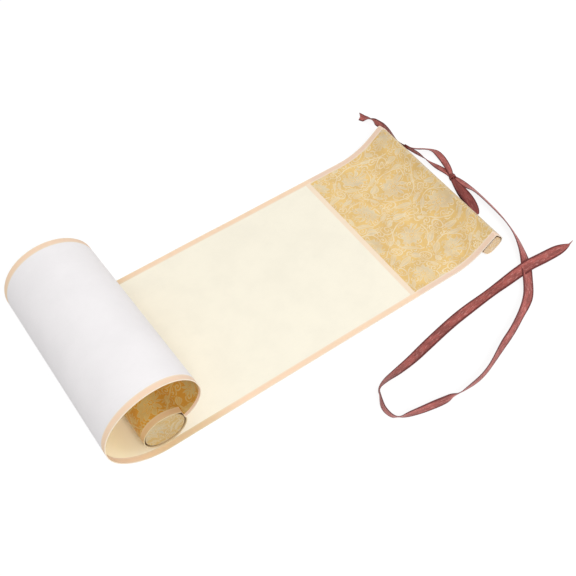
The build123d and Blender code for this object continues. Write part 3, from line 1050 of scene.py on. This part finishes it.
def ribbon_material(scroll, name="satin_ribbon", shaded=None):
    """Satin ribbon: fine cross ribs, soft creases and dark woven edges, with painted sheen in light
    and dark streaks, painted shade in the creases and small painted glints. Beyond the shaded
    length, where it doubles over itself, painted shade darkens it."""
    satin, dark = scroll.colours.ribbon, scroll.colours.ribbon_edge_and_shade
    b = material_board(name)
    _, u, v = b.laid()
    half = scroll.ribbon.width / MM / 2
    edge = abs(v).step(half - 1.8, half - 0.9)
    ribs = (u * (FULL_TURN / RIBBON_RIB)).sin() * 0.5 + 0.5
    sheen_streaks = b.noise(b.vector(u * 0.16, v * 1.1), 1.3, 4.0, 0.65)
    creases = b.noise(b.vector(u * 0.17 + v * 0.2, v * 0.4), 0.5, 3.0, 0.6)
    glints = b.noise(b.vector(u * 0.3 - v * 0.2, v * 0.9), 0.9)
    # Painted sheen in light and dark streaks, painted shade in the creases and painted glints
    base = b.mix(sheen_streaks.step(0.35, 0.68), shade(satin, 0.78), shade(satin, 1.2))
    base = b.mix(creases.step(0.4, 0.58), shade(satin, 0.58), base)
    base = b.mix(ribs * 0.22, base, shade(satin, 0.6))
    base = b.mix(glints.step(0.52, 0.68, 0.0, 0.65), base, RIBBON_GLINT)
    if shaded:
        # Painted shade where the satin doubles over itself
        base = b.mix(u.step(shaded - 4.0, shaded + 2.0, 0.0, 0.55), base, dark)
    base = b.mix(edge * 0.95, base, dark)
    normal = b.bump(ribs * 0.25 + sheen_streaks * 0.6 + creases * 4.0 + edge * 0.8, 0.12, 0.8)
    return b.surface(base, 0.5, normal, 0.25, {
        "Sheen Weight": 0.1, "Sheen Tint": paint(shade(satin, 1.8)), "Anisotropic": 0.5})


# Operators, one for each piece or group of like pieces

SHEET_ROWS, HEAD_ROWS, TAPE_ROWS, HEM_ROWS = 22, 30, 4, 2
HEM_REACH = (-0.2 * MM, 2.3 * MM)
HEM_THICKNESS = 0.1 * MM
FOLD_SHARE = 0.36  # of the rounding of the stave's back

# Depths inside the ends of the roller and the stave
ROD_STOP = 2.5 * MM
GAP_DEPTHS = (2.6 * MM, 0.15 * MM)
COVER_DEPTHS = (0.8 * MM, 0.0)
ROD_RIM, COVER_RIM = 0.4 * MM, 0.12 * MM
# How far the wood is darkened in the slits round the end covers: painted shade
GAP_SHADE = 0.28

# Where the satin doubles over itself, in millimetres along each ribbon
BOW_SHADED, KNOT_SHADED = 44.0, -10.0


class PaperSheets(bpy.types.Operator):
    """Builds the paper lining and the writing panel"""
    bl_idname = "scroll.paper_sheets"
    bl_label = "Paper Sheets"

    def execute(self, context):
        scroll = context.scene.paper_scroll
        sheet, colours, path = scroll.sheet, scroll.colours, SheetPath(scroll)
        back = paper_material("lining_paper_back", colours.lining, 0.97, 0.25)
        lining = join("lining", strip_and_sleeve(path, 0.0, (-sheet.lining, 0.0), SHEET_ROWS))
        finish(lining, back, "lining", "lining_paper")
        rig.sheet(lining, flat=(2 * path.inner, path.length), held="laid", rests_on=["roller"])
        front = paper_material("writing_paper_face", colours.paper, 0.965, 0.3,
                               colours.rolled, colours.glow)
        writing = rolled_strip("writing_paper", path, path.writing, path.writing_end,
                               (-path.inner, path.inner), (0.0, sheet.facing), SHEET_ROWS)
        finish(writing, front, "writing_paper", "writing_panel")
        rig.sheet(writing, flat=(2 * path.inner, path.writing_end - path.writing), held="laid",
                 rests_on=["lining"])
        return {"FINISHED"}


class Brocades(bpy.types.Operator):
    """Builds the gold brocade at the head and inside the curl"""
    bl_idname = "scroll.brocades"
    bl_label = "Brocades"

    def execute(self, context):
        scroll = context.scene.paper_scroll
        sheet, path = scroll.sheet, SheetPath(scroll)
        layer = (0.0, sheet.facing)
        fold = path.head_length - path.starts[STAVE_TOP] + scroll.head.back_round * FOLD_SHARE
        cloth = brocade_material(scroll, "head_brocade_cloth", fold=fold / MM)
        front = rolled_strip("head_cloth", path, 0.0, path.head_seam, (-path.inner, path.inner),
                             layer, HEAD_ROWS)
        finish(front, cloth, "brocade", "head_brocade")
        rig.sheet(front, flat=(2 * path.inner, path.head_seam), held="laid", rests_on=["lining"])
        # Inside the curl, the brocade takes painted shade and light bounced off the gold cloth
        rolled = brocade_material(scroll, "rolled_brocade_cloth", *SHADED_ROLLED_CLOTH)
        top = sheet.facing + sheet.tape_rise
        hems = [rolled_strip(word + "_hem", path, path.tail, path.crease_end,
                             sorted(side * (path.inner + reach) for reach in HEM_REACH),
                             (top, top + HEM_THICKNESS), HEM_ROWS) for side, word in SIDES]
        tail = join("tail_cloth", hems + strip_and_sleeve(path, path.tail, layer, SHEET_ROWS))
        finish(tail, rolled, "brocade", "tail_brocade")
        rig.sheet(tail, flat=(2 * path.inner, path.length - path.tail), held="laid",
                 rests_on=["lining"])
        return {"FINISHED"}


class Tapes(bpy.types.Operator):
    """Builds the peach tapes along the edges and across the sheet"""
    bl_idname = "scroll.tapes"
    bl_label = "Tapes"

    def execute(self, context):
        scroll = context.scene.paper_scroll
        sheet, path = scroll.sheet, SheetPath(scroll)
        peach = tape_material(scroll)
        top = sheet.facing + sheet.tape_rise
        for side, word in SIDES:
            rims = sorted((side * path.edge, side * path.inner))
            inset_rims = [rim - side * scroll.curl.roller_inset for rim in rims]
            for kind, begin, end, edges in (
                    ("_tape", 0.0, path.crease_end, rims),
                    ("_sleeve_band", path.crease_end, path.length, inset_rims)):
                tape = rolled_strip(word + kind, path, begin, end, edges, (-sheet.lining, top),
                                    TAPE_ROWS)
                node = word + ("_edge_tape" if kind == "_tape" else "_sleeve_tape")
                finish(tape, peach, "edging", node)
        for name, begin, end in (("head", path.head_seam, path.writing),
                                 ("tail", path.writing_end, path.tail)):
            strip = rolled_strip(name + "_strip", path, begin, end, (-path.inner, path.inner),
                                 (0.0, top), SHEET_ROWS)
            finish(strip, peach, "edging", name + "_divider")
        return {"FINISHED"}


class RodsAndEnds(bpy.types.Operator):
    """Builds the roller and the stave with the brocade on their ends"""
    bl_idname = "scroll.rods_and_ends"
    bl_label = "Roller and Stave"

    def execute(self, context):
        scroll = context.scene.paper_scroll
        sheet, head, curl = scroll.sheet, scroll.head, scroll.curl
        path = SheetPath(scroll)
        # A darkened copy of the wood paints the shade in the slits at the rods' ends
        wood, dark = wood_material(scroll, "wood"), wood_material(scroll, "gap_shade", GAP_SHADE)
        roller_cloth = brocade_material(scroll, "roller_end_brocade", *ROLLER_END_CLOTH)
        stave_cloth = brocade_material(scroll, "stave_end_brocade", *STAVE_END_CLOTH)
        axis = sleeve_axis(path)
        roller, roller_cap = (round_outline(axis, radius)
                              for radius in (curl.roller_radius, curl.cover_radius))
        stave = stave_outline(path, head)
        stave_cap = stave_outline(path, head, head.cover_setback, head.cover_inset)
        for name, outline, half, covers in (
                ("roller", roller, path.edge - curl.roller_inset - curl.sleeve_overhang,
                 [(roller_cap, roller_cloth)]),
                ("stave", stave, path.edge - head.cover_recess,
                 [(stave_cap, stave_cloth), (flap_outline(path, head), tape_material(scroll))])):
            core = half - ROD_STOP
            rod = prism(name + "_rod", outline, sheet.middle - core, sheet.middle + core, ROD_RIM)
            finish(rod, wood, "wood", name)
            layers = [(outline, dark, GAP_DEPTHS)] + [(*cover, COVER_DEPTHS) for cover in covers]
            for side, word in SIDES:
                node = word + "_" + name + "_cover"
                pieces = []
                for shape, material, depths in layers:
                    low, high = sorted(sheet.middle + side * (half - depth) for depth in depths)
                    pieces.append(prism(node, shape, low, high, COVER_RIM))
                    pieces[-1].data.materials.append(material)
                settle(join(node + "_cloth", pieces), "brocade", node)
        return {"FINISHED"}


class RibbonStrands(bpy.types.Operator):
    """Builds the tail, the two strands between hitch and knot, and the bow loop"""
    bl_idname = "scroll.ribbon_strands"
    bl_label = "Ribbon Strands"

    def execute(self, context):
        scroll = context.scene.paper_scroll
        sizes = scroll.ribbon
        upper, line = ribbon_strip("ribbon_tail_and_strand", sizes, TAIL_AND_UPPER,
                                   start_cut=forked_end)
        finish(upper, ribbon_material(scroll), "ribbon", "ribbon_tail", "ribbon_upper_strand")
        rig.cord(upper, exit=line[-1], length=0.106, diameter=sizes.width, far_end="bare",
                stiffness="limp", lay="loose", path=line)
        lower, line = ribbon_strip("ribbon_strand_and_bow", sizes, LOWER_AND_BOW)
        finish(lower, ribbon_material(scroll, "satin_bow", BOW_SHADED), "ribbon",
               "ribbon_lower_strand", "ribbon_bow_loop")
        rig.cord(lower, exit=line[0], length=0.116, diameter=sizes.width, far_end="object",
                stiffness="limp", lay="loose", path=line)
        return {"FINISHED"}


class LongRibbonEnd(bpy.types.Operator):
    """Builds the long end of the ribbon that lies on the table, with the knots on it"""
    bl_idname = "scroll.long_ribbon_end"
    bl_label = "Long Ribbon End"

    def execute(self, context):
        scroll = context.scene.paper_scroll
        sizes = scroll.ribbon
        satin = ribbon_material(scroll)
        tied = ribbon_material(scroll, "satin_knots", KNOT_SHADED)
        long_end, line = ribbon_strip("ribbon_long_end", sizes, LONG_END)
        finish(long_end, satin, "ribbon", "ribbon_long_run", "ribbon_free_end")
        knot = finish(tied_knot("ribbon_bow_knot", sizes, KNOT_WRAPS), tied, "ribbon",
                      "ribbon_knot")
        hitch = finish(tied_knot("ribbon_stave_hitch", sizes, HITCH_WRAPS), tied, "ribbon",
                       "ribbon_hitch")
        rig.cord(long_end, exit=line[0], length=0.466, diameter=sizes.width, far_end="bare",
                stiffness="limp", lay="loose", path=line, with_pieces=[knot, hitch])
        return {"FINISHED"}


class Stage(bpy.types.Operator):
    """Builds the table top, the lamps and the camera"""
    bl_idname = "scroll.stage"
    bl_label = "Stage"

    def execute(self, context):
        scene = context.scene
        deselect()
        bpy.ops.mesh.primitive_plane_add(size=FLOOR_SIZE, location=(0, 0, -FLOOR_DROP))
        floor = bpy.context.object
        floor.name = "floor"
        floor.data.materials.append(floor_material(scene.paper_scroll))
        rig.stage(floor)
        scene.world = studio_world()
        for name, place, power, width in LAMPS:
            data = bpy.data.lights.new(name, "AREA")
            data.energy = power
            data.size = width
            aim = (-Vector(place)).to_track_quat("-Z", "Y").to_euler()
            set_up(name, data, place, aim)
        data = bpy.data.cameras.new("camera")
        data.sensor_width, data.lens = CAMERA_SENSOR, CAMERA_LENS
        data.clip_start, data.clip_end = CAMERA_CLIP
        scene.camera = set_up("camera", data, CAMERA_PLACE, CAMERA_AIM)
        scene.view_settings.view_transform = "Standard"
        return {"FINISHED"}


# The stage: each lamp's place, power in watts and width. All lamps point at the origin.
LAMPS = (("key_lamp", (-0.3, -1.15, 1.25), 13.6, 0.7),
         ("side_lamp", (1.5, -0.5, 1.0), 4.0, 1.0),
         ("top_lamp", (0.2, 0.3, 2.2), 4.0, 1.4))
CAMERA_PLACE = (-0.28408, -0.31432, 0.51631)
CAMERA_AIM = (radians(35.9626), 0.0, radians(-35.2289))
CAMERA_SENSOR, CAMERA_LENS, CAMERA_CLIP = 36.0, 58.82, (0.01, 20.0)
FLOOR_SIZE, FLOOR_DROP = 8.0, 0.15 * MM
FLOOR_SHADE, FLOOR_GLOW, SKY_STRENGTH = 0.16, 0.89, 0.55
WHITE = (1, 1, 1, 1)


def set_up(name, data, place, aim):
    """Puts a lamp or the camera in the scene."""
    thing = bpy.data.objects.new(name, data)
    bpy.context.collection.objects.link(thing)
    thing.location = place
    thing.rotation_euler = aim
    return thing


def seen_or_lit(board, lit, seen, output):
    """Ends a board in one shader as a light and another as the camera sees it, straight, in gloss
    or through glass."""
    rays = board.node("ShaderNodeLightPath", output="Is Camera Ray")
    sight = rays.most(rays.beside("Is Glossy Ray")).most(rays.beside("Is Transmission Ray"))
    shader = board.node("ShaderNodeMixShader", None, {0: sight, 1: lit, 2: seen})
    board.node(output, None, {"Surface": shader})
    return board.owner


def floor_material(scroll):
    """A matt table top that looks white, with the scroll's shadow on it."""
    b = material_board("floor")
    matt = b.node("ShaderNodeBsdfDiffuse", None, {"Color": paint(scroll.colours.floor)})
    faint = b.node("ShaderNodeBsdfDiffuse", None, {"Color": paint([FLOOR_SHADE] * 3)})
    glow = b.node("ShaderNodeEmission", None, {"Color": WHITE, "Strength": FLOOR_GLOW})
    shadowed = b.node("ShaderNodeAddShader", None, {0: faint, 1: glow})
    return seen_or_lit(b, matt, shadowed, "ShaderNodeOutputMaterial")


def studio_world():
    b = Board(bpy.data.worlds.new("studio"))
    sky, white = (b.node("ShaderNodeBackground", None, {"Color": WHITE, "Strength": strength})
                  for strength in (SKY_STRENGTH, 1.0))
    return seen_or_lit(b, sky, white, "ShaderNodeOutputWorld")


# Ribbon routes: x, y and z in millimetres, roll in degrees, share of the full width

LYING_HEIGHT, LYING_SHARE = 0.3, 0.9


def lying(*points):
    """Points, given as x, y and roll, where the long end lies flat on the table at its width."""
    return [(x, y, LYING_HEIGHT, roll, LYING_SHARE) for x, y, roll in points]


TAIL_AND_UPPER = [
    (72.4, 93.9, 0.3, 10, 0.72), (74.1, 90.9, 0.4, 5, 0.72), (75.8, 87.2, 0.5, -25, 0.7),
    (76.4, 83.0, 0.6, -59, 0.68), (76.6, 79.5, 0.8, -95, 0.68), (77.5, 75.2, 1.4, -95, 0.66),
    (78.2, 70.8, 2.4, -85, 0.66), (77.6, 63.4, 3.4, -78, 0.62), (76.2, 57.4, 4.2, -74, 0.56),
    (75.0, 51.4, 4.6, -70, 0.5), (75.6, 47.4, 4.9, -62, 0.52), (77.2, 44.0, 5.0, -50, 0.62),
    (80.0, 40.6, 4.2, -39, 0.7), (83.6, 38.4, 3.0, -36, 0.72), (88.4, 36.6, 1.8, -38, 0.7),
    (92.8, 34.0, 0.8, -36, 0.66), (96.2, 29.8, 0.5, -16, 0.68), (95.8, 24.4, 0.5, -14, 0.7),
    (94.7, 18.8, 0.5, -14, 0.68), (92.4, 11.6, 0.9, -12, 0.56), (90.0, 6.4, 1.6, -10, 0.38),
    (88.6, 3.6, 2.0, -10, 0.3)]
LOWER_AND_BOW = [
    (76.4, 44.6, 4.8, -70, 0.62), (78.6, 38.8, 3.6, -70, 0.7), (81.4, 33.0, 2.2, -66, 0.68),
    (83.2, 28.4, 1.2, -52, 0.64), (84.7, 23.4, 0.5, -38, 0.66), (86.6, 18.2, 0.4, -20, 0.68),
    (88.1, 13.8, 0.4, -16, 0.66), (88.9, 9.0, 0.9, -12, 0.52), (88.4, 4.6, 1.8, -6, 0.36),
    (87.4, 2.0, 2.4, 4, 0.34), (86.0, -1.6, 3.0, 8, 0.44), (84.8, -6.4, 3.3, 12, 0.6),
    (83.9, -13.4, 3.4, 14, 0.72), (82.8, -21.4, 3.2, 14, 0.76), (81.2, -28.6, 2.6, 10, 0.7),
    (79.9, -32.8, 1.9, 4, 0.52), (79.4, -34.2, 1.3, 0, 0.3), (79.9, -32.8, 0.7, 0, 0.42),
    (81.2, -28.4, 0.4, 0, 0.6), (82.8, -21.0, 0.3, 0, 0.66), (84.0, -13.4, 0.3, 0, 0.62),
    (85.6, -6.4, 0.5, 0, 0.5), (87.4, 0.0, 1.2, 0, 0.4), (88.2, 2.6, 1.8, 0, 0.32)]
LONG_END = [
    (88.6, 3.2, 2.4, -8, 0.36), (89.6, -0.6, 2.1, -8, 0.5), (90.7, -5.4, 1.5, -12, 0.64),
    (91.6, -11.2, 0.8, -24, 0.72), (92.3, -17.0, 0.4, -42, 0.86),
    *lying(
        (92.4, -25.2, -46), (92.1, -35.0, -47), (91.3, -45.3, -50), (89.7, -55.6, -56),
        (86.8, -66.7, -54), (82.5, -76.6, -45), (79.2, -83.0, -34), (75.6, -88.8, -22),
        (71.2, -94.4, -28), (61.0, -106.4, -29), (53.0, -111.8, -45), (45.6, -115.6, -60),
        (35.6, -120.6, -64), (26.0, -124.6, -67), (17.6, -127.4, -68), (4.2, -133.0, -80),
        (-4.4, -136.2, -85), (-12.8, -138.0, -90), (-23.6, -138.4, -100), (-31.2, -138.1, -115),
        (-36.0, -137.5, -85), (-41.0, -136.8, -80), (-48.0, -135.4, -79), (-56.4, -133.8, -84),
        (-66.0, -131.3, -96), (-70.8, -129.4, -119), (-73.6, -126.8, -103), (-74.6, -121.2, -92),
        (-73.6, -116.6, -85), (-71.6, -112.4, -90), (-69.6, -109.3, -97), (-66.8, -106.7, -70),
        (-60.5, -104.4, -51), (-51.2, -103.5, -37), (-37.0, -101.7, -27), (-22.5, -98.7, -20),
        (-0.2, -94.7, -19), (17.3, -92.5, -12)),
    (39.0, -91.5, 0.5, -25, 0.9), (54.0, -90.6, 1.6, -12, 0.9), (66.0, -90.0, 3.2, -2, 0.9),
    (77.0, -89.8, 3.8, 4, 0.9), (87.0, -90.2, 2.2, 6, 0.9), (97.0, -90.2, 0.8, 4, 0.9),
    (104.0, -90.4, 0.4, 2, 0.86), (109.0, -90.8, 0.3, 0, 0.66), (113.4, -91.3, 0.3, 0, 0.3),
    (115.2, -91.3, 0.3, 0, 0.06), (119.0, -90.4, 0.5, 0, 0.04)]

# Loops of the knot and the hitch: middle in millimetres, axis, two radii, share of the width and
# the angle in degrees at which they start
KNOT_WRAPS = [
    ((88.0, 2.4, 2.5), (0.3, 1.0, 0.1), (2.2, 1.6), 0.24, 0.0),
    ((88.4, 3.2, 2.8), (0.6, 0.8, -0.2), (1.9, 1.6), 0.22, 120.0)]
HITCH_WRAPS = [
    ((75.8, 47.3, 4.3), (0.3, 0.9, 0.5), (1.2, 1.8), 0.34, 0.0),
    ((76.6, 44.6, 4.1), (-0.2, 1.0, 0.3), (1.4, 1.9), 0.36, 90.0)]

STEPS = (PaperSheets, Brocades, Tapes, RodsAndEnds, RibbonStrands, LongRibbonEnd, Stage)
GROUPS = (SheetSizes, HeadSizes, CurlSizes, RibbonSizes, BrocadeSizes, Colours, ScrollSettings)


class ScrollPanel(bpy.types.Panel):
    """Lists the steps that build the scroll"""
    bl_idname = "SCROLL_PT_steps"
    bl_label = "Paper Scroll"
    bl_space_type = "VIEW_3D"
    bl_region_type = "UI"
    bl_category = "Scroll"

    def draw(self, context):
        for step in STEPS:
            self.layout.operator(step.bl_idname)


def register():
    for item in (*GROUPS, *STEPS, ScrollPanel):
        bpy.utils.register_class(item)
    bpy.types.Scene.paper_scroll = PointerProperty(type=ScrollSettings)


def unregister():
    del bpy.types.Scene.paper_scroll
    for item in reversed((*GROUPS, *STEPS, ScrollPanel)):
        bpy.utils.unregister_class(item)


def main():
    register()
    for step in STEPS:
        group, name = step.bl_idname.split(".")
        getattr(getattr(bpy.ops, group), name)()
    boxes = {"solids": [list(corner) for corner in SOLIDS_BOX],
             "scene": [list(corner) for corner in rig.bounds()]}
    with open("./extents.json", "w") as file:
        json.dump(boxes, file)


if __name__ == "__main__":
    main()
